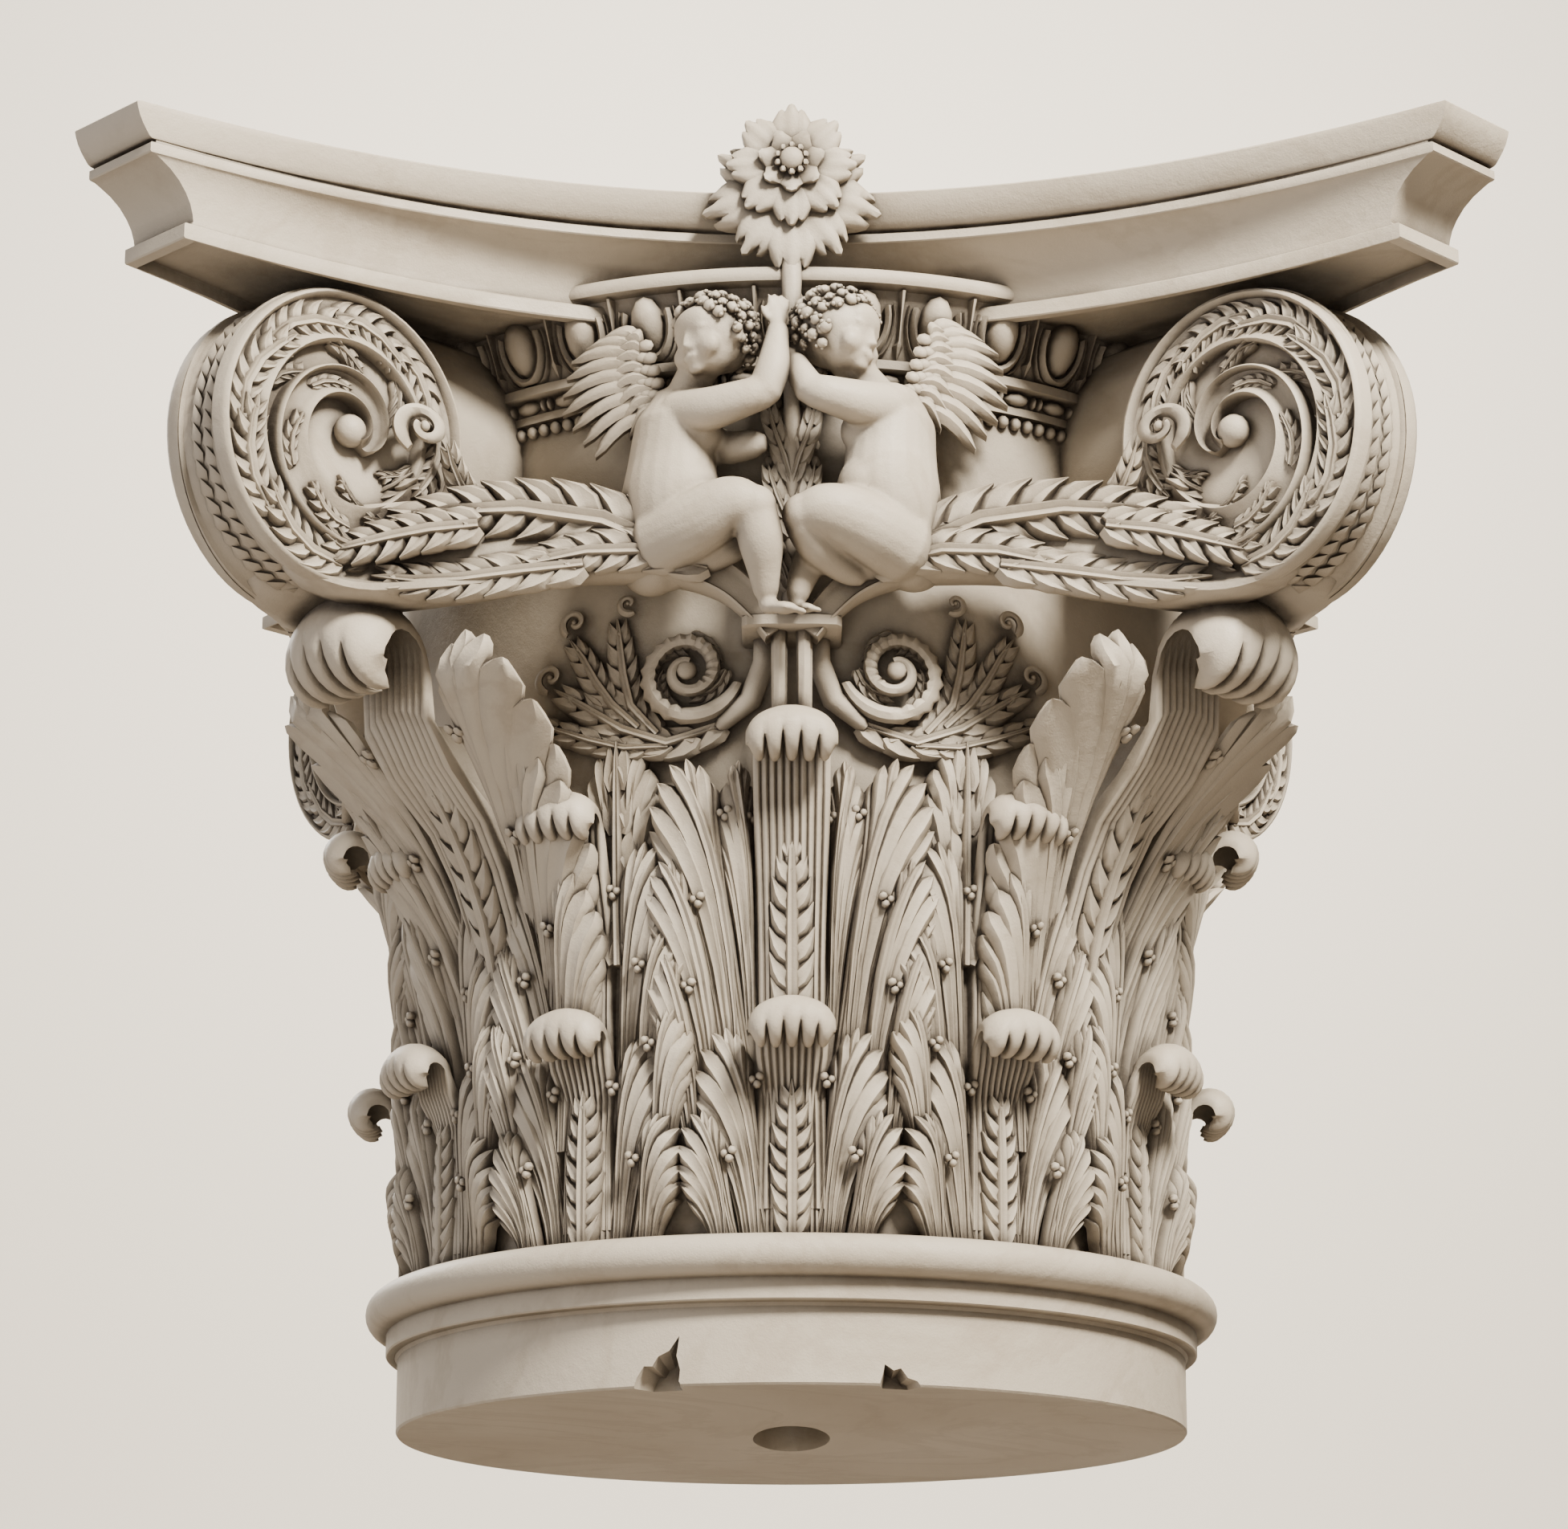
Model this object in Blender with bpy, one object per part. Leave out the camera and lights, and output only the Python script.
"""A carved marble column capital of the composite order, cut from one block.

The block stands on its round foot and carries a beam on its square top. Metres, +Z up, with the origin at
the middle of the underside. Azimuth 0 is the front, at -Y, and azimuths grow towards +X.
"""

import math
from collections import namedtuple

import bmesh
import bpy
from mathutils import Matrix, Vector

# Foot: the end of the shaft, its fillet and the astragal above it
SHAFT_RADIUS = 0.300
SHAFT_HEIGHT = 0.058
FILLET_STEP = 0.009
FILLET_HEIGHT = 0.0165
ASTRAGAL_RADIUS = 0.015
ASTRAGAL_REACH = 0.325

# Socket in the underside, and two old breaks in the lower edge
SOCKET_WIDTH = 0.058
SOCKET_LENGTH = 0.150
SOCKET_DEPTH = 0.050
Break = namedtuple("Break", "azimuth half_width height depth lean")
BREAKS = (
    Break(azimuth=-18.0, half_width=0.020, height=0.034, depth=0.022, lean=0.55),
    Break(azimuth=15.0, half_width=0.016, height=0.016, depth=0.016, lean=-0.5),
)

# Bell: the basket that the leaves grow on
BELL_FOOT_RADIUS = 0.284
BELL_NECK_RADIUS = 0.318
BELL_HEIGHT = 0.6085
BELL_FLARE = 2.6

# Rings between the bell and the lip, from the bottom up
PEARL_HEIGHT = 0.011
PEARL_REACH = 0.0070
BAND_HEIGHT = 0.007
REEL_HEIGHT = 0.011
REEL_REACH = 0.0125
SILL_HEIGHT = 0.008
SILL_STEP = 0.016
ECHINUS_HEIGHT = 0.049
ECHINUS_TOP_STEP = 0.036
LIP_HEIGHT = 0.012
LIP_STEP = 0.042
EGG_HALF_WIDTH = 0.0215
EGG_HALF_HEIGHT = 0.0225
EGG_RELIEF = 0.0185
EGG_PITCH = 9.0
EGG_PLACES = (-4, -3, -2, 2, 3, 4)

# Abacus: four hollow sides and four cut horns
HORN_FAR = 0.512
HORN_CUT = 0.052
SIDE_HOLLOW = 0.165
ABACUS_HEIGHT = 0.090
ABACUS_SEAT = 0.028
# (share of the height, inset from the top edge)
ABACUS_PROFILE = (
    (0.0, 0.048),
    (0.13, 0.048),
    (0.18, 0.053),
    (0.48, 0.038),
    (0.655, 0.014),
    (0.76, 0.014),
    (1.0, 0.0),
)

# Leaves. Angles in degrees; foot and top are heights above the astragal
Leaf = namedtuple(
    "Leaf",
    "name azimuths foot top half_angle relief lobes roll_reach roll_radius roll_half_width",
)
LEAVES = (
    Leaf("corner_leaf", (45.0,), 0.250, 0.452, 15.5, 0.020, 2, 0.450, 0.043, 0.048),
    Leaf("face_leaf", (0.0,), 0.150, 0.366, 15.4, 0.024, 2, 0.348, 0.0225, 0.033),
    Leaf("upper_leaf", (30.0, -30.0), 0.140, 0.318, 14.6, 0.019, 2, 0.338, 0.0215, 0.032),
    Leaf("lower_leaf", (0.0, 30.0, 60.0), 0.0, 0.160, 14.6, 0.020, 2, 0.325, 0.0205, 0.031),
)
LEAF_BURY = 0.020
LEAF_SHOULDER = 0.70
LEAF_TAPER = 0.10
LOBE_NOTCH = 0.26
LEAF_BACK = 0.030
# The curled tip: (rise, reach, width) as shares of the roll's radius and half width
TIP_SLICES = ((-0.90, 0.40, 0.84), (-0.10, 1.0, 1.0), (0.88, 0.42, 0.86))
SPEAR_AZIMUTH = 22.0
SPEAR_FOOT = 0.250
SPEAR_TOP = 0.378
SPEAR_HALF_WIDTH = 0.027
SPEAR_RELIEF = 0.011

# Volutes: one wedge at each corner with a scroll cut on each of its two faces
VOLUTE_EDGE = 0.600
VOLUTE_HALF_WIDTH = 0.106
VOLUTE_HALF_HEIGHT = 0.115
VOLUTE_RIM = 0.024
VOLUTE_SPREAD = 7.0
VOLUTE_CLIMB = 0.003
SCROLL_TURNS = 1.65
SCROLL_BAND = 0.046
SCROLL_RELIEF = 0.009
SCROLL_EYE = 0.20

# Stalks: from the collar on each side out to the two nearest volutes
COLLAR_HALF_WIDTH = 0.036
COLLAR_HEIGHT = 0.010
COLLAR_LEVEL = 0.536
COLLAR_REACH = 0.352
COLLAR_BURY = 0.020
COLLAR_CUT = 0.006
# (distance from the side's middle, height above the collar, reach from the axis, half height,
# half depth)
STALK = (
    (0.016, 0.000, 0.334, 0.010, 0.012),
    (0.062, 0.054, 0.345, 0.011, 0.015),
    (0.108, 0.070, 0.352, 0.020, 0.018),
    (0.165, 0.071, 0.372, 0.034, 0.021),
    (0.230, 0.064, 0.410, 0.040, 0.024),
    (0.305, 0.058, 0.460, 0.042, 0.028),
    (0.352, 0.044, 0.514, 0.030, 0.024),
)
CURL_CENTRE = 0.076
CURL_DROP = 0.019
CURL_RADIUS = 0.043
CURL_RELIEF = 0.020
CURL_BACK = 0.030
SPRAY_REACH = 0.190
# (share of the way out, height from the collar, half height)
SPRAY = (
    (0.0, -0.062, 0.006),
    (0.25, -0.048, 0.016),
    (0.5, -0.010, 0.030),
    (0.75, 0.010, 0.022),
    (1.0, 0.004, 0.006),
)
SPRAY_HALF_DEPTH = 0.012
TENDRIL_OUT = 0.262
TENDRIL_LEVEL = 0.668
TENDRIL_RADIUS = 0.024
TENDRIL_REACH = 0.412
TENDRIL_INSET = 0.012
TENDRIL_BACK = 0.100
TENDRIL_RELIEF = 0.008

# Flower on each side of the abacus, and its stem
FLOWER_RADIUS = 0.046
FLOWER_PETALS = 6
CALYX_RADIUS = 0.062
CALYX_PETALS = 5
FLOWER_RISE = 0.012
CALYX_DROP = 0.016
FLOWER_PROUD = 0.037
FLOWER_NOTCH = 0.82
FLOWER_DISH = 0.010
FLOWER_BURY = 0.022
CALYX_NOTCH = 0.72
CALYX_DISH = 0.006
CALYX_STEP = 0.013
CALYX_BURY = 0.028
STEM_RADIUS = 0.011
STEM_SINK_LOW = 0.012
STEM_SINK_HIGH = 0.020
POD_RADIUS = 0.019

# Winged boys on the front, sitting on the stalks
BOY_HEIGHT = 0.240
BOY_SEAT = 0.352

STONE_COLOUR = (0.78, 0.75, 0.70, 1.0)
STONE_ROUGHNESS = 0.62

RING_SIDES = 32
SIDE_STEPS = 5
VOLUTE_SIDES = 16
QUARTERS = 4
PLANAR_LIMIT = math.radians(0.1)
KEEP_SHARE = 0.825

# Heights that follow from the sizes above
FILLET_FOOT = SHAFT_HEIGHT
ASTRAGAL_FOOT = FILLET_FOOT + FILLET_HEIGHT
BELL_FOOT = ASTRAGAL_FOOT + 2.0 * ASTRAGAL_RADIUS
BELL_TOP = BELL_FOOT + BELL_HEIGHT
PEARL_TOP = BELL_TOP + PEARL_HEIGHT
BAND_TOP = PEARL_TOP + BAND_HEIGHT
REEL_TOP = BAND_TOP + REEL_HEIGHT
SILL_TOP = REEL_TOP + SILL_HEIGHT
ECHINUS_TOP = SILL_TOP + ECHINUS_HEIGHT
LIP_TOP = ECHINUS_TOP + LIP_HEIGHT
ABACUS_FOOT = LIP_TOP - ABACUS_SEAT
ABACUS_TOP = ABACUS_FOOT + ABACUS_HEIGHT
HORN_NEAR = HORN_FAR - HORN_CUT
SIDE_REACH = HORN_FAR - SIDE_HOLLOW
FLOWER_REACH = SIDE_REACH + FLOWER_PROUD
VOLUTE_CENTRE = ABACUS_FOOT + VOLUTE_CLIMB - VOLUTE_HALF_HEIGHT
FLOWER_CENTRE = ABACUS_TOP + FLOWER_RISE


def clear_scene():
    for obj in list(bpy.data.objects):
        bpy.data.objects.remove(obj)


def marble():
    material = bpy.data.materials.new("marble")
    material.use_nodes = True
    shader = material.node_tree.nodes["Principled BSDF"]
    shader.inputs["Base Color"].default_value = STONE_COLOUR
    shader.inputs["Roughness"].default_value = STONE_ROUGHNESS
    shader.inputs["Metallic"].default_value = 0.0
    return material


def polar(azimuth, radius, height):
    """The point at this azimuth in degrees, distance from the axis and height."""
    angle = math.radians(azimuth)
    return Vector((radius * math.sin(angle), -radius * math.cos(angle), height))


def on_front(across, reach, height):
    """The point at this distance right of the front's middle, on a drum of radius reach about the axis."""
    return polar(math.degrees(math.asin(max(-1.0, min(1.0, across / reach)))), reach, height)


def bell_radius(height):
    share = max(0.0, min(1.0, (height - BELL_FOOT) / BELL_HEIGHT))
    return BELL_FOOT_RADIUS + (BELL_NECK_RADIUS - BELL_FOOT_RADIUS) * share**BELL_FLARE


def loft(rings):
    """A closed mesh through rings that each hold as many points, with a flat face at each end."""
    mesh = bmesh.new()
    loops = [[mesh.verts.new(point) for point in ring] for ring in rings]
    sides = len(loops[0])
    for low, high in zip(loops, loops[1:]):
        for i in range(sides):
            j = (i + 1) % sides
            mesh.faces.new((low[i], low[j], high[j], high[i]))
    bmesh.ops.connect_verts_nonplanar(mesh, angle_limit=PLANAR_LIMIT, faces=mesh.faces[:])
    mesh.faces.new(reversed(loops[0]))
    mesh.faces.new(loops[-1])
    if mesh.calc_volume(signed=True) < 0.0:
        bmesh.ops.reverse_faces(mesh, faces=mesh.faces[:])
    return mesh


def add_solid(name, mesh, collection, turn=0.0):
    """Stores the mesh as an object, turned about the axis by so many degrees."""
    data = bpy.data.meshes.new(name)
    mesh.to_mesh(data)
    mesh.free()
    return add_copy(name, data, collection, turn)


def add_copy(name, data, collection, turn):
    obj = bpy.data.objects.new(name, data)
    obj.rotation_euler = (0.0, 0.0, math.radians(turn))
    obj.hide_render = True
    obj.display_type = "WIRE"
    collection.objects.link(obj)
    return obj


def add_on_every_side(name, mesh, collection):
    first = add_solid(f"{name}_0", mesh, collection)
    for quarter in range(1, QUARTERS):
        add_copy(f"{name}_{quarter}", first.data, collection, 90.0 * quarter)


def turned_profile():
    """(radius, height) down the outside of the turned core, from the lip to the underside."""
    neck = BELL_NECK_RADIUS
    astragal_centre = ASTRAGAL_REACH - ASTRAGAL_RADIUS
    profile = [
        (neck + LIP_STEP, LIP_TOP),
        (neck + LIP_STEP, ECHINUS_TOP),
        (neck + ECHINUS_TOP_STEP, ECHINUS_TOP - 0.0005),
        (neck + SILL_STEP, SILL_TOP),
        (neck + SILL_STEP, REEL_TOP),
        (neck + REEL_REACH, REEL_TOP - REEL_HEIGHT * 0.4),
        (neck, BAND_TOP),
        (neck, PEARL_TOP),
        (neck + PEARL_REACH, PEARL_TOP - PEARL_HEIGHT * 0.5),
        (neck, BELL_TOP),
    ]
    profile += [
        (bell_radius(height), height)
        for height in (BELL_FOOT + BELL_HEIGHT * share for share in (0.76, 0.5, 0.0))
    ]
    for degrees in (90, 30, -30, -90):
        angle = math.radians(degrees)
        profile.append(
            (
                astragal_centre + ASTRAGAL_RADIUS * math.cos(angle),
                ASTRAGAL_FOOT + ASTRAGAL_RADIUS * (1.0 + math.sin(angle)),
            )
        )
    profile += [
        (SHAFT_RADIUS + FILLET_STEP, FILLET_FOOT),
        (SHAFT_RADIUS, FILLET_FOOT - 0.0005),
        (SHAFT_RADIUS, 0.0),
    ]
    return profile


def turned_core():
    rings = [
        [polar(360.0 * (i + 0.5) / RING_SIDES, radius, height) for i in range(RING_SIDES)]
        for radius, height in turned_profile()
    ]
    return loft(rings)


def abacus():
    """The square slab: each side a hollow curve, each corner cut off square to the diagonal."""

    def outline(share, inset):
        near, far = HORN_NEAR - inset * 0.66, HORN_FAR - inset * 0.72
        middle = SIDE_REACH - inset
        points = []
        for quarter in range(QUARTERS):
            turn = Matrix.Rotation(math.radians(90.0 * quarter), 3, "Z")
            for i in range(SIDE_STEPS + 1):
                across = near * (2.0 * i / SIDE_STEPS - 1.0)
                reach = middle + (far - middle) * (across / near) ** 2
                height = ABACUS_FOOT + ABACUS_HEIGHT * share
                points.append(turn @ Vector((across, -reach, height)))
        return points

    return loft([outline(share, inset) for share, inset in ABACUS_PROFILE])


def lobe_stations(lobes):
    """(share of the height, share of the half width) from the foot up: each lobe swells and is cut back."""
    stations = [(0.0, 1.0 - LOBE_NOTCH)]
    for lobe in range(lobes):
        for within, width in ((0.62, 1.0), (1.0, 1.0 - LOBE_NOTCH)):
            share = (lobe + within) / lobes
            stations.append((share, width * (1.0 - LEAF_TAPER * share)))
    return stations


def leaf_solid(leaf):
    """A leaf from its foot up the bell and out into the curled tip, in level slices."""
    bend = BELL_FOOT + leaf.top - leaf.roll_radius
    foot = BELL_FOOT + leaf.foot - 0.002
    under = bend - leaf.roll_radius * 0.96
    lean = max(0.0, leaf.roll_reach - leaf.roll_radius - bell_radius(under) - leaf.relief)

    def slice_at(height, half, front, shoulder=LEAF_SHOULDER):
        bell = bell_radius(height)
        edge = min(front - leaf.relief * 0.6, max(bell - 0.003, front - leaf.relief - 0.004))
        back = max(bell - LEAF_BURY, front - leaf.relief - LEAF_BACK)
        return [
            polar(-half, edge, height),
            polar(-half * shoulder, front, height),
            polar(half * shoulder, front, height),
            polar(half, edge, height),
            polar(0.0, back, height),
        ]

    rings = []
    for share, width in lobe_stations(leaf.lobes):
        height = foot + (under - foot) * share
        bent = lean * max(0.0, (share - 0.3) / 0.7) ** 1.7
        rings.append(slice_at(height, leaf.half_angle * width, bell_radius(height) + leaf.relief + bent))
    tip = math.degrees(leaf.roll_half_width / leaf.roll_reach)
    for rise, out, width in TIP_SLICES:
        front = leaf.roll_reach + leaf.roll_radius * out
        rings.append(slice_at(bend + leaf.roll_radius * rise, tip * width, front, 0.8))
    return loft(rings)


def spear_leaf():
    """The pointed leaf that shows between the tall ones."""
    foot, top = BELL_FOOT + SPEAR_FOOT, BELL_FOOT + SPEAR_TOP
    rings = []
    for share, width in ((0.0, 0.9), (0.35, 1.0), (0.60, 0.62), (1.0, 0.08)):
        height = foot + (top - foot) * share
        bell = bell_radius(height)
        half = math.degrees(SPEAR_HALF_WIDTH * width / bell)
        rings.append(
            [
                polar(-half, bell - 0.002, height),
                polar(0.0, bell + SPEAR_RELIEF, height),
                polar(half, bell - 0.002, height),
                polar(0.0, bell - LEAF_BURY, height),
            ]
        )
    return loft(rings)


def turned_copy(mesh, azimuth):
    bmesh.ops.rotate(
        mesh,
        verts=mesh.verts[:],
        cent=(0.0, 0.0, 0.0),
        matrix=Matrix.Rotation(math.radians(azimuth), 3, "Z"),
    )
    return mesh


def egg():
    """One egg of the echinus, half sunk in it."""
    centre = SILL_TOP + ECHINUS_HEIGHT * 0.5
    reach = BELL_NECK_RADIUS + ECHINUS_TOP_STEP * 0.62
    rings = []
    for share, swell in ((-0.95, 0.5), (0.1, 1.0), (0.95, 0.8)):
        height = centre + EGG_HALF_HEIGHT * share
        front = reach + 0.006 * share + EGG_RELIEF * swell
        back = reach + 0.006 * share - EGG_RELIEF * 0.4
        rings.append(
            [
                Vector((EGG_HALF_WIDTH * swell * across, -out, height))
                for across, out in ((-1.0, back), (-0.4, front), (0.4, front), (1.0, back))
            ]
        )
    return loft(rings)


def volute_point(along, lift, depth, side):
    """A point on a volute's face, for the corner at azimuth 45.

    along runs out from the middle of the scroll to the corner and lift runs up, both as shares of its half
    sizes. depth is how far the point stands proud of the face, and side is +1 or -1 for the two faces.
    """
    spread = math.radians(VOLUTE_SPREAD)
    inward = VOLUTE_HALF_WIDTH * (1.0 - along)
    out = VOLUTE_EDGE - inward * math.cos(spread)
    aside = VOLUTE_RIM + inward * math.sin(spread) + depth
    corner = Vector((math.sqrt(0.5), -math.sqrt(0.5), 0.0))
    across = Vector((-math.sqrt(0.5), -math.sqrt(0.5), 0.0))
    level = VOLUTE_CENTRE + VOLUTE_HALF_HEIGHT * lift
    return corner * out + across * (aside * side) + Vector((0.0, 0.0, level))


def volute_wedge():
    """The plain disc of the volute, a wedge that is thinnest at the corner and waisted round its rim."""
    rings = []
    for side, depth, swell in ((1, 0.0, 1.0), (1, -VOLUTE_RIM, 0.93), (-1, 0.0, 1.0)):
        ring = []
        for i in range(VOLUTE_SIDES):
            angle = math.tau * i / VOLUTE_SIDES
            ring.append(volute_point(math.cos(angle) * swell, math.sin(angle) * swell, depth, side))
        rings.append(ring)
    return loft(rings)


def volute_scroll(side):
    """The raised band that winds in from the foot of the volute to its eye."""
    steps = round(SCROLL_TURNS * 8)
    rings = []
    for i in range(steps + 1):
        share = i / steps
        angle = math.radians(-100.0) + math.tau * SCROLL_TURNS * share
        outer = 0.99 - (0.99 - SCROLL_EYE) * share**0.85
        band = SCROLL_BAND / VOLUTE_HALF_WIDTH * (1.0 - 0.62 * share)
        inner = max(0.03, outer - band)
        crest = SCROLL_RELIEF * (0.75 + 0.5 * share)
        across, up = math.cos(angle), math.sin(angle)
        rings.append(
            [
                volute_point(across * outer, up * outer, -0.006, side),
                volute_point(across * (outer * 0.95), up * (outer * 0.95), crest, side),
                volute_point(across * inner, up * inner, -0.004, side),
            ]
        )
    return loft(rings)


def ring_of_points(centre, first, second, radius_1, radius_2, sides):
    return [
        centre
        + first * (radius_1 * math.cos(math.tau * (i + 0.5) / sides))
        + second * (radius_2 * math.sin(math.tau * (i + 0.5) / sides))
        for i in range(sides)
    ]


def tube(path, sides=6, flat_to=None):
    """A tube along (point, half height, half depth) triples, each ring square to the path.

    flat_to gives the direction in which the half depth is measured; without it that is away from the axis.
    """
    rings = []
    for i, (centre, half_height, half_depth) in enumerate(path):
        ahead = path[min(i + 1, len(path) - 1)][0] - path[max(i - 1, 0)][0]
        ahead.normalize()
        outward = Vector(flat_to) if flat_to else Vector((centre.x, centre.y, 0.0)).normalized()
        upward = ahead.cross(outward).normalized()
        outward = upward.cross(ahead).normalized()
        rings.append(ring_of_points(centre, upward, outward, half_height, half_depth, sides))
    return loft(rings)


def stalk(side):
    """The stalk that springs from the collar and spreads into the foot of a volute."""
    path = [
        (on_front(side * across, reach, COLLAR_LEVEL + rise), half_height, half_depth)
        for across, rise, reach, half_height, half_depth in STALK
    ]
    return tube(path, sides=5)


def curl(side):
    """The small scroll below the collar: a dished disc that stands off the bell."""
    reach = bell_radius(COLLAR_LEVEL)
    centre = on_front(side * CURL_CENTRE, reach, COLLAR_LEVEL - CURL_DROP)
    outward = Vector((centre.x, centre.y, 0.0)).normalized()
    around = outward.cross(Vector((0.0, 0.0, 1.0)))
    rings = [
        ring_of_points(centre + outward * out, around, Vector((0.0, 0.0, 1.0)), radius, radius, 8)
        for out, radius in (
            (-CURL_BACK, CURL_RADIUS * 0.8),
            (CURL_RELIEF, CURL_RADIUS),
            (CURL_RELIEF * 0.4, CURL_RADIUS * 0.5),
        )
    ]
    return loft(rings)


def spray(side):
    """The leaf that flies off the small scroll towards the corner."""
    reach = bell_radius(COLLAR_LEVEL)
    path = []
    for share, rise, half in SPRAY:
        across = CURL_CENTRE + (SPRAY_REACH - CURL_CENTRE) * share
        centre = on_front(side * across, reach, COLLAR_LEVEL + rise)
        path.append((centre, half, SPRAY_HALF_DEPTH))
    return tube(path, sides=4)


def collar():
    rings = []
    for height in (COLLAR_LEVEL, COLLAR_LEVEL + COLLAR_HEIGHT):
        rings.append(
            [
                Vector((COLLAR_HALF_WIDTH, -bell_radius(height) + COLLAR_BURY, height)),
                Vector((-COLLAR_HALF_WIDTH, -bell_radius(height) + COLLAR_BURY, height)),
                Vector((-COLLAR_HALF_WIDTH, -COLLAR_REACH + COLLAR_CUT, height)),
                Vector((-COLLAR_HALF_WIDTH * 0.6, -COLLAR_REACH, height)),
                Vector((COLLAR_HALF_WIDTH * 0.6, -COLLAR_REACH, height)),
                Vector((COLLAR_HALF_WIDTH, -COLLAR_REACH + COLLAR_CUT, height)),
            ]
        )
    return loft(rings)


def tendril(side):
    """The curled shoot that crosses the inner side of the volute."""
    centre = on_front(side * TENDRIL_OUT, TENDRIL_REACH - TENDRIL_INSET, TENDRIL_LEVEL)
    outward = Vector((centre.x, centre.y, 0.0)).normalized()
    around = outward.cross(Vector((0.0, 0.0, 1.0)))
    rings = [
        ring_of_points(centre + outward * out, around, Vector((0.0, 0.0, 1.0)), radius, radius, 6)
        for out, radius in (
            (-TENDRIL_BACK, TENDRIL_RADIUS),
            (TENDRIL_RELIEF, TENDRIL_RADIUS * 0.8),
        )
    ]
    return loft(rings)


def rosette(centre_height, radius, petals, reach, back, notch, dish):
    """A flower seen from the front: petals round a dished middle with a boss."""
    points = petals * 2
    rings = []
    for out, swell in ((back, 0.62), (reach, 1.0), (reach - dish, 0.36)):
        ring = []
        for i in range(points):
            angle = math.tau * i / points + math.pi / 2.0
            edge = 1.0 if i % 2 else notch
            distance = radius * swell * (edge if swell > 0.5 else 1.0)
            ring.append(
                Vector((distance * math.cos(angle), -out, centre_height + distance * math.sin(angle)))
            )
        rings.append(ring)
    return loft(rings)


def flower():
    back = SIDE_REACH - FLOWER_BURY
    return rosette(
        FLOWER_CENTRE, FLOWER_RADIUS, FLOWER_PETALS, FLOWER_REACH, back, FLOWER_NOTCH, FLOWER_DISH
    )


def calyx():
    height = FLOWER_CENTRE - CALYX_DROP
    front, back = FLOWER_REACH - CALYX_STEP, SIDE_REACH - CALYX_BURY
    return rosette(height, CALYX_RADIUS, CALYX_PETALS, front, back, CALYX_NOTCH, CALYX_DISH)


def stem():
    """The stem from the collar up to the flower, swelling into a pod on the way."""
    bottom, top = COLLAR_LEVEL + COLLAR_HEIGHT * 0.5, FLOWER_CENTRE - CALYX_DROP * 2.0
    reach_low, reach_high = COLLAR_REACH - STEM_SINK_LOW, FLOWER_REACH - STEM_SINK_HIGH
    neck = STEM_RADIUS * 0.7
    path = []
    for share, half in (
        (0.0, STEM_RADIUS),
        (0.25, neck),
        (0.42, POD_RADIUS),
        (0.6, neck),
        (1.0, STEM_RADIUS),
    ):
        reach = reach_low + (reach_high - reach_low) * share
        path.append((Vector((0.0, -reach, bottom + (top - bottom) * share)), half, half))
    return tube(path, sides=4, flat_to=(0.0, -1.0, 0.0))


# The boys' joints, as (distance right of the middle, height above the collar, reach from the seat),
# in shares of a boy's height. Each limb is a run of such points with a radius.
Limb = namedtuple("Limb", "name points radii sides")
LEFT_BOY = (
    Limb(
        "trunk",
        ((-0.36, 0.19, 0.00), (-0.36, 0.34, 0.02), (-0.35, 0.50, 0.02), (-0.31, 0.72, 0.04)),
        (0.135, 0.165, 0.150, 0.080),
        7,
    ),
    Limb("head", ((-0.245, 0.825, 0.10), (-0.240, 0.915, 0.10)), (0.132, 0.136), 8),
    Limb(
        "near_arm",
        ((-0.34, 0.66, 0.10), (-0.09, 0.65, 0.16), (-0.045, 0.84, 0.12), (-0.03, 1.00, 0.07)),
        (0.070, 0.058, 0.042, 0.030),
        5,
    ),
    Limb(
        "near_leg",
        ((-0.36, 0.26, 0.06), (-0.12, 0.34, 0.16), (-0.075, 0.06, 0.09), (0.01, 0.03, 0.15)),
        (0.110, 0.078, 0.044, 0.030),
        5,
    ),
    Limb("far_leg", ((-0.36, 0.22, -0.02), (-0.10, 0.22, 0.02)), (0.10, 0.065), 4),
)
RIGHT_BOY = (
    Limb(
        "trunk",
        ((0.29, 0.19, 0.02), (0.28, 0.34, 0.04), (0.285, 0.50, 0.04), (0.24, 0.74, 0.06)),
        (0.140, 0.165, 0.150, 0.080),
        7,
    ),
    Limb("head", ((0.150, 0.835, 0.11), (0.150, 0.925, 0.11)), (0.132, 0.136), 8),
    Limb("near_arm", ((0.28, 0.68, 0.10), (0.07, 0.68, 0.15), (0.00, 0.86, 0.05)), (0.070, 0.054, 0.030), 5),
    Limb("near_thigh", ((0.29, 0.25, 0.08), (0.03, 0.29, 0.15)), (0.120, 0.078), 5),
    Limb("near_shin", ((0.035, 0.28, 0.14), (0.10, 0.15, 0.03)), (0.072, 0.046), 5),
)
Wing = namedtuple("Wing", "side root tip span")
WINGS = (
    Wing(side=-1, root=(-0.36, 0.72, 0.01), tip=(-0.66, 0.78, -0.02), span=0.155),
    Wing(side=1, root=(0.31, 0.74, 0.02), tip=(0.63, 0.80, -0.02), span=0.155),
)
# (share of the way to the tip, share of the span, half depth)
WING_SLICES = ((0.0, 0.45, 0.014), (0.35, 0.95, 0.014), (0.75, 1.0, 0.010), (1.0, 0.55, 0.008))


def boy_point(across, rise, out):
    """A joint's place: across and up the front, and out from the drum that the boys sit against."""
    place = on_front(BOY_HEIGHT * across, BOY_SEAT, COLLAR_LEVEL + BOY_HEIGHT * rise)
    return place + Vector((0.0, -BOY_HEIGHT * out, 0.0))


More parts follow.
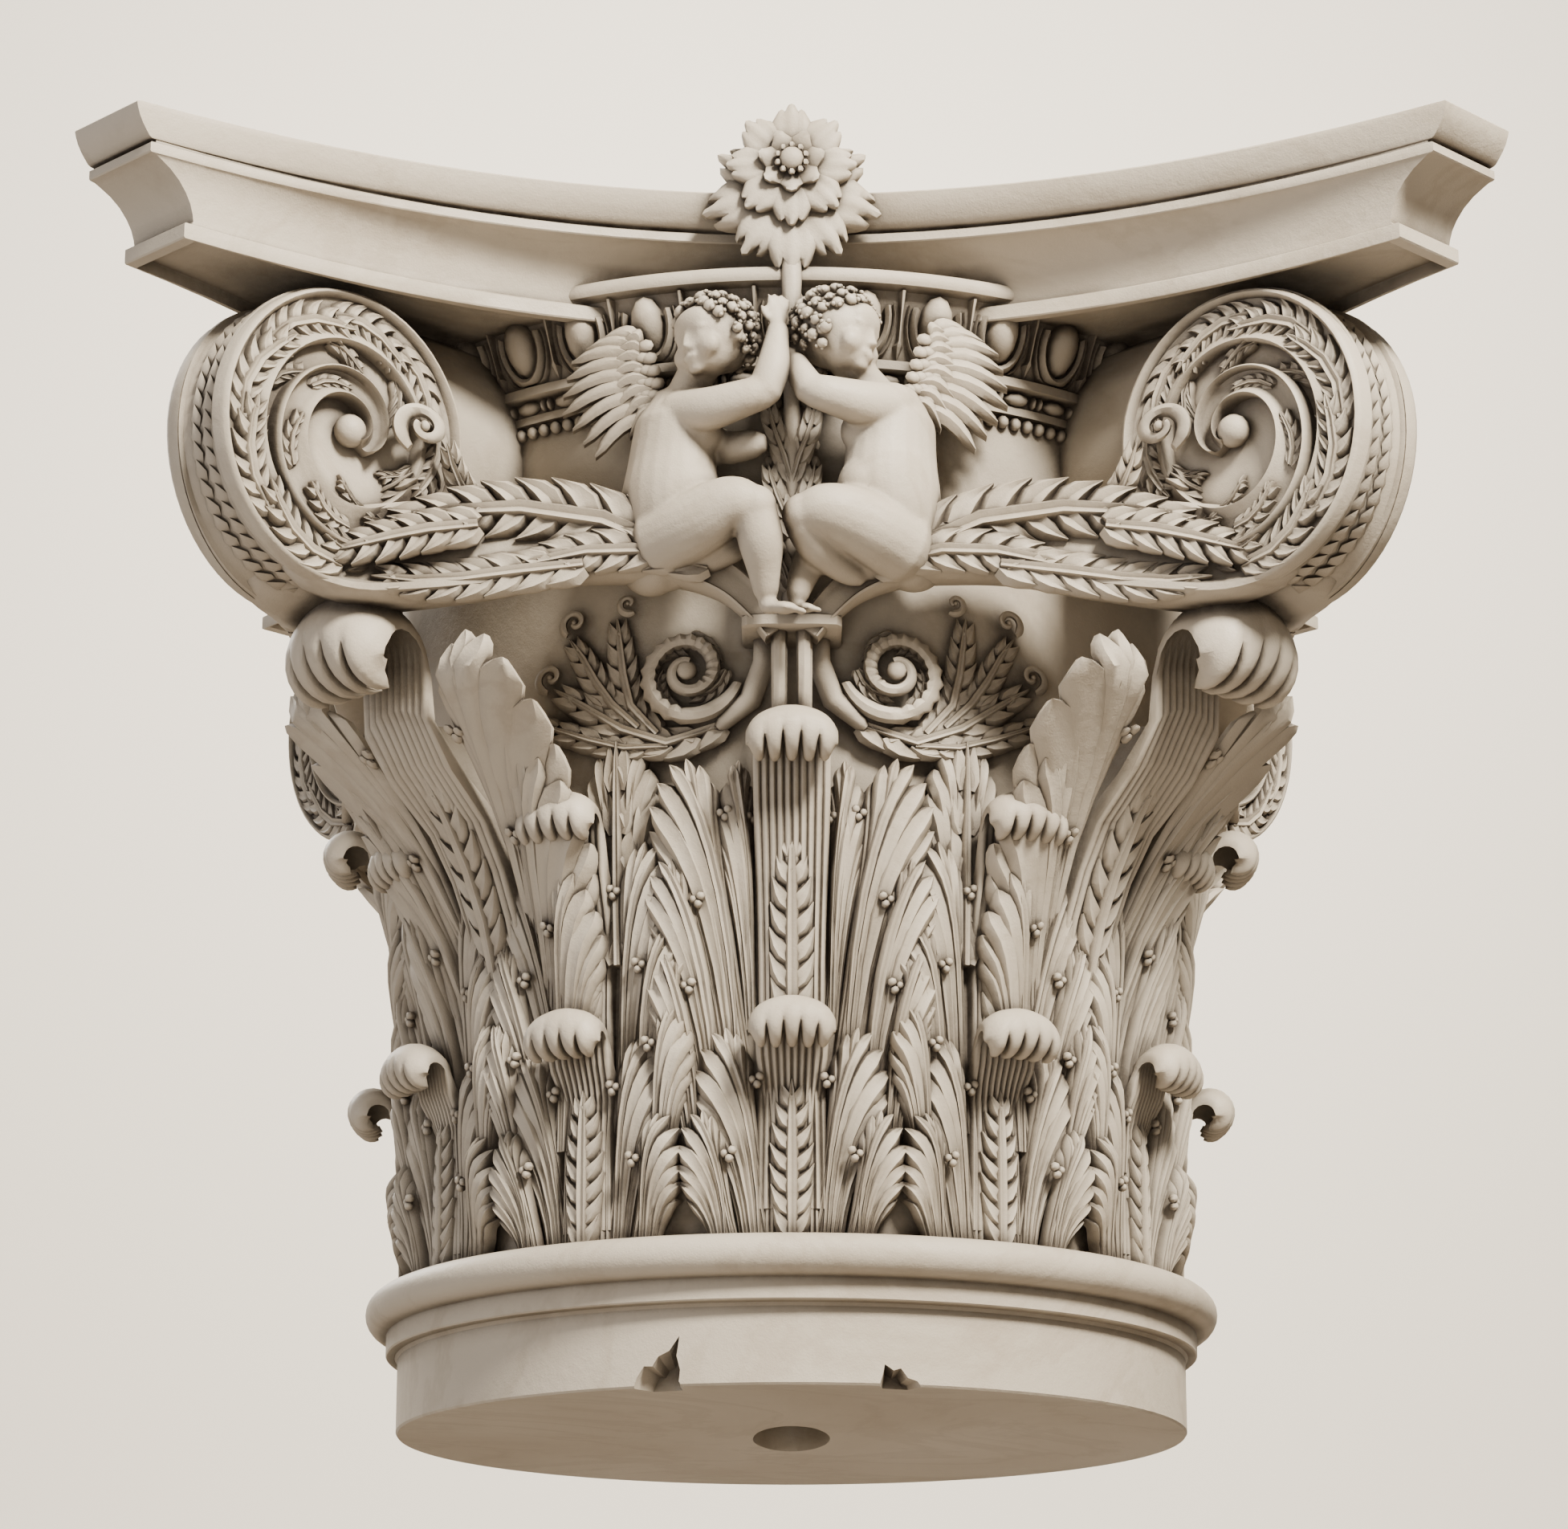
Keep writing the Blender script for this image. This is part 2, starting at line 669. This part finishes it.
def limb_solid(limb):
    """A rounded limb through its joints, closed by a smaller ring at each end."""
    path = []
    points = [boy_point(*point) for point in limb.points]
    radii = [BOY_HEIGHT * radius for radius in limb.radii]
    start, end = points[0], points[-1]
    before = start + (start - points[1]).normalized() * radii[0] * 0.75
    after = end + (end - points[-2]).normalized() * radii[-1] * 0.75
    path.append((before, radii[0] * 0.5, radii[0] * 0.5))
    path += [(point, radius, radius) for point, radius in zip(points, radii)]
    path.append((after, radii[-1] * 0.5, radii[-1] * 0.5))
    return tube(path, sides=limb.sides, flat_to=(0.0, -1.0, 0.0))


def wing_solid(wing):
    """A wing spread flat against the echinus, thick at the shoulder and thin at the tip."""
    root, tip = boy_point(*wing.root), boy_point(*wing.tip)
    span = BOY_HEIGHT * wing.span
    path = []
    for share, width, depth in WING_SLICES:
        path.append((root.lerp(tip, share), span * width, depth))
    return tube(path, sides=4)


def add_carving(collection):
    """Every raised form of the capital, as closed shapes that reach into the core or into each other."""
    add_solid("abacus", abacus(), collection)
    for leaf in LEAVES:
        for azimuth in leaf.azimuths:
            name = f"{leaf.name}_{round(azimuth)}"
            add_on_every_side(name, turned_copy(leaf_solid(leaf), azimuth), collection)
    for side in (-1, 1):
        word = "left" if side < 0 else "right"
        add_on_every_side(f"spear_{word}", turned_copy(spear_leaf(), side * SPEAR_AZIMUTH), collection)
        add_on_every_side(f"stalk_{word}", stalk(side), collection)
        add_on_every_side(f"curl_{word}", curl(side), collection)
        add_solid(f"spray_{word}", spray(side), collection)
        add_on_every_side(f"tendril_{word}", tendril(side), collection)
        add_on_every_side(f"scroll_{word}", volute_scroll(side), collection)
    add_on_every_side("volute", volute_wedge(), collection)
    add_on_every_side("collar", collar(), collection)
    add_on_every_side("calyx", calyx(), collection)
    add_on_every_side("flower", flower(), collection)
    add_on_every_side("stem", stem(), collection)
    for place in EGG_PLACES:
        add_on_every_side(f"egg_{place}", turned_copy(egg(), place * EGG_PITCH), collection)
    for word, limbs in (("left", LEFT_BOY), ("right", RIGHT_BOY)):
        for limb in limbs:
            add_solid(f"{word}_boy_{limb.name}", limb_solid(limb), collection)
    for wing in WINGS:
        add_solid(f"wing_{wing.side}", wing_solid(wing), collection)


def socket_cutter():
    """An oval socket for the dowel that ties the block to the shaft."""
    rings = []
    for height in (-0.01, SOCKET_DEPTH):
        rings.append(
            ring_of_points(
                Vector((0.0, 0.0, height)),
                Vector((1.0, 0.0, 0.0)),
                Vector((0.0, 1.0, 0.0)),
                SOCKET_WIDTH / 2.0,
                SOCKET_LENGTH / 2.0,
                14,
            )
        )
    return loft(rings)


def break_cutter(gap):
    """A chip off the lower edge: a ragged pointed bite that runs out to nothing above."""
    middle = polar(gap.azimuth, SHAFT_RADIUS, 0.0)
    outward = Vector((middle.x, middle.y, 0.0)).normalized()
    around = Vector((0.0, 0.0, 1.0)).cross(outward)

    def bite(height, width, depth, shift):
        centre = middle + around * shift + Vector((0.0, 0.0, height))
        return [
            centre - around * width + outward * 0.02,
            centre - around * width * 0.8 - outward * depth * 0.5,
            centre + around * width * 0.1 - outward * depth,
            centre + around * width * 0.9 - outward * depth * 0.6,
            centre + around * width + outward * 0.02,
        ]

    peak = gap.half_width * gap.lean
    return loft(
        [
            bite(-0.01, gap.half_width * 1.25, gap.depth * 1.1, 0.0),
            bite(gap.height * 0.45, gap.half_width * 0.8, gap.depth * 0.7, peak * 0.3),
            bite(gap.height, gap.half_width * 0.12, gap.depth * 0.05, peak),
        ]
    )


def join_carving(capital, collection):
    modifier = capital.modifiers.new("carving", "BOOLEAN")
    modifier.operation = "UNION"
    modifier.operand_type = "COLLECTION"
    modifier.collection = collection
    modifier.solver = "EXACT"


def cut(capital, cutter):
    modifier = capital.modifiers.new(cutter.name, "BOOLEAN")
    modifier.operation = "DIFFERENCE"
    modifier.object = cutter
    modifier.solver = "EXACT"


def thin_out(capital):
    """Drops the shortest edges that the unions leave where two forms meet."""
    modifier = capital.modifiers.new("thin_out", "DECIMATE")
    modifier.ratio = KEEP_SHARE


def main():
    clear_scene()
    scene = bpy.context.scene.collection
    carving = bpy.data.collections.new("carving")
    cutters = bpy.data.collections.new("cutters")
    scene.children.link(carving)
    scene.children.link(cutters)
    capital = add_solid("capital", turned_core(), scene)
    capital.hide_render = False
    capital.display_type = "TEXTURED"
    capital.data.materials.append(marble())
    add_carving(carving)
    join_carving(capital, carving)
    cut(capital, add_solid("socket", socket_cutter(), cutters))
    for number, gap in enumerate(BREAKS):
        cut(capital, add_solid(f"break_{number}", break_cutter(gap), cutters))
    thin_out(capital)


main()
